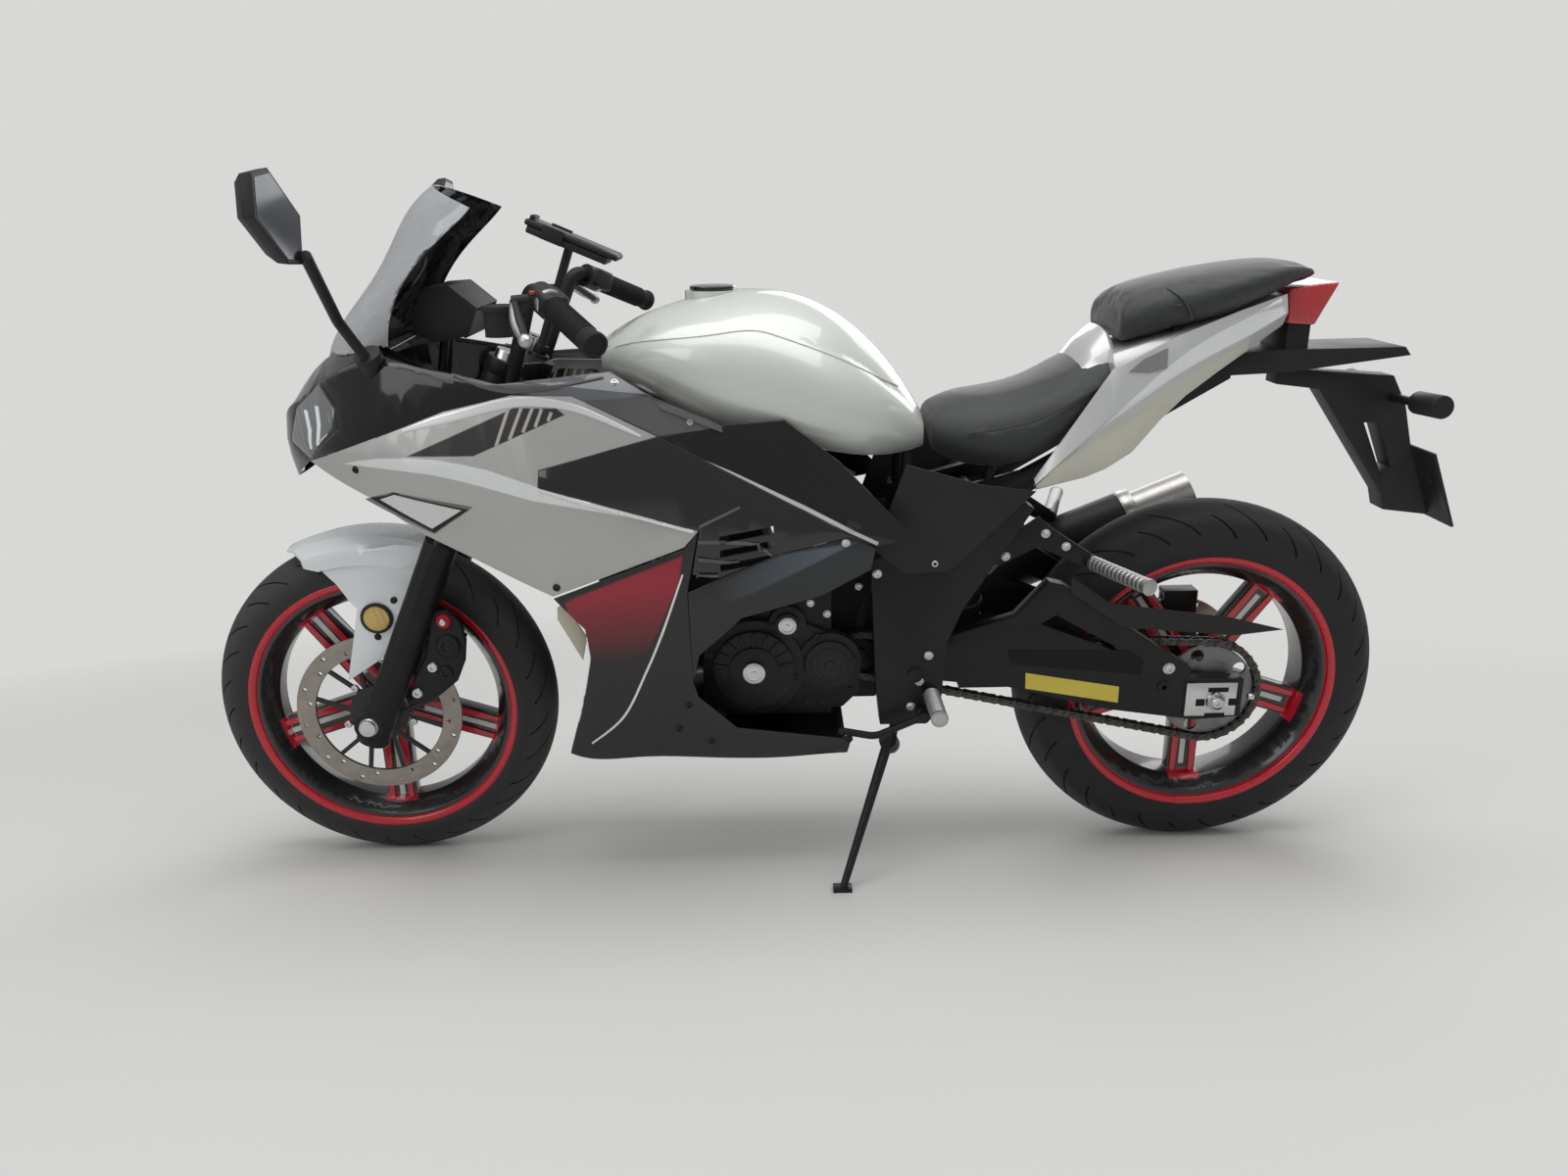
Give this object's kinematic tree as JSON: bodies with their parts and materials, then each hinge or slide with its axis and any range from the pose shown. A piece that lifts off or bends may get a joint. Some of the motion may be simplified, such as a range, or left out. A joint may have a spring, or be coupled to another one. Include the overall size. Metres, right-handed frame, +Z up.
{
  "type": "sport motorcycle",
  "caption": "Full-faired sport motorcycle leaning on its side stand, with turning wheels, steering, folding stand and hinged fuel cap.",
  "frame": {"origin": "middle of the overall length and width, on the ground the tyres and the stand foot rest on", "axes": "+X towards the tail, +Y towards the rider's right, +Z up from the ground; the bike leans towards -Y on its side stand"},
  "size_m": [2.0797, 0.9138, 1.229],
  "materials": {
    "alloy_pegs": "cast alloy",
    "belly_paint": "gloss black fading from deep red",
    "black_castings": "satin black",
    "black_gloss": "gloss black lacquer",
    "black_plastic": "grained black",
    "bright_steel": "bright plated steel",
    "chain_steel": "dark oiled steel",
    "clear_lens": "clear moulded lens",
    "disc_steel": "ground steel",
    "engine_black": "satin black cast alloy",
    "exhaust_metal": "brushed steel, black can",
    "fork_chrome": "hard chrome",
    "frame_black": "satin black powder coat",
    "grip_rubber": "matt moulded rubber",
    "pearl_paint": "pearl silver white lacquer",
    "radiator_alloy": "black finned core",
    "red_lens": "red moulded lens",
    "seat_vinyl": "black vinyl with a satin sheen",
    "shock_spring": "black spring",
    "silver_paint": "satin metallic silver",
    "smoked_screen": "smoked clear sheet",
    "sprocket_steel": "dark oiled steel",
    "tyre_rubber": "matt black road rubber",
    "wheel_paint": "gloss black with red spoke faces and rim lips"
  },
  "bodies": {
    "chassis": {"chain": "chain_steel", "radiator": "radiator_alloy", "rear_shock": "shock_spring", "side_fairings": "silver_paint", "front_signals": "clear_lens", "upper_panels": "black_gloss", "side_scoops": "black_gloss", "sweep_panels": "black_gloss", "belly_pan": "belly_paint", "nose_cowl": "black_gloss", "headlights": "clear_lens", "windscreen": "smoked_screen", "instruments": "black_plastic", "fuel_tank": "pearl_paint", "rider_seat": "seat_vinyl", "pillion_seat": "seat_vinyl", "tail_cowl": "silver_paint", "tail_lamp": "red_lens", "side_covers": "black_plastic", "rear_mudguard": "black_plastic", "rear_signals": "black_plastic", "engine": "engine_black", "engine_covers": "engine_black", "frame": "frame_black", "swingarm": "frame_black", "rear_axle": "bright_steel", "chain_guard": "black_plastic", "rear_caliper": "black_castings", "footrests": "alloy_pegs", "pedals": "black_castings", "mirrors": "black_plastic", "exhaust": "exhaust_metal"},
    "steering": {"fork_sliders": "black_castings", "fork_tubes": "fork_chrome", "front_axle": "bright_steel", "yokes": "black_castings", "handlebars": "black_castings", "grips": "grip_rubber", "levers": "black_plastic", "phone_holder": "black_plastic", "front_fender": "silver_paint", "front_caliper": "black_castings"},
    "front_wheel": {"front_tyre": "tyre_rubber", "front_rim": "wheel_paint", "front_disc": "disc_steel"},
    "rear_wheel": {"rear_tyre": "tyre_rubber", "rear_rim": "wheel_paint", "rear_disc": "disc_steel", "rear_sprocket": "sprocket_steel"},
    "side_stand": {"side_stand": "frame_black"},
    "fuel_cap": {"fuel_cap": "bright_steel"}
  },
  "joints": [
    {"name": "steering", "type": "hinge", "parent": "chassis", "child": "steering", "pos_m": [-0.4836, 0.06776, 0.77238], "axis": [0.4067, -0.1913, 0.8933], "range_deg": [-27, 27]},
    {"name": "front_wheel_spin", "type": "hinge", "parent": "steering", "child": "front_wheel", "pos_m": [-0.747, 0.17158, 0.28765], "axis": [0, 0.9778, 0.2094], "continuous": true},
    {"name": "rear_wheel_spin", "type": "hinge", "parent": "chassis", "child": "rear_wheel", "pos_m": [0.667, 0.16711, 0.30854], "axis": [0, 0.9778, 0.2094], "continuous": true},
    {"name": "side_stand_fold", "type": "hinge", "parent": "chassis", "child": "side_stand", "pos_m": [0.119, 0.03165, 0.22477], "axis": [-0.1895, -0.8968, 0.3998], "range_deg": [0, 95]},
    {"name": "fuel_cap_lid", "type": "hinge", "parent": "chassis", "child": "fuel_cap", "pos_m": [-0.196, 0.02585, 0.96804], "axis": [0, -0.9778, -0.2094], "range_deg": [0, 100]}
  ]
}
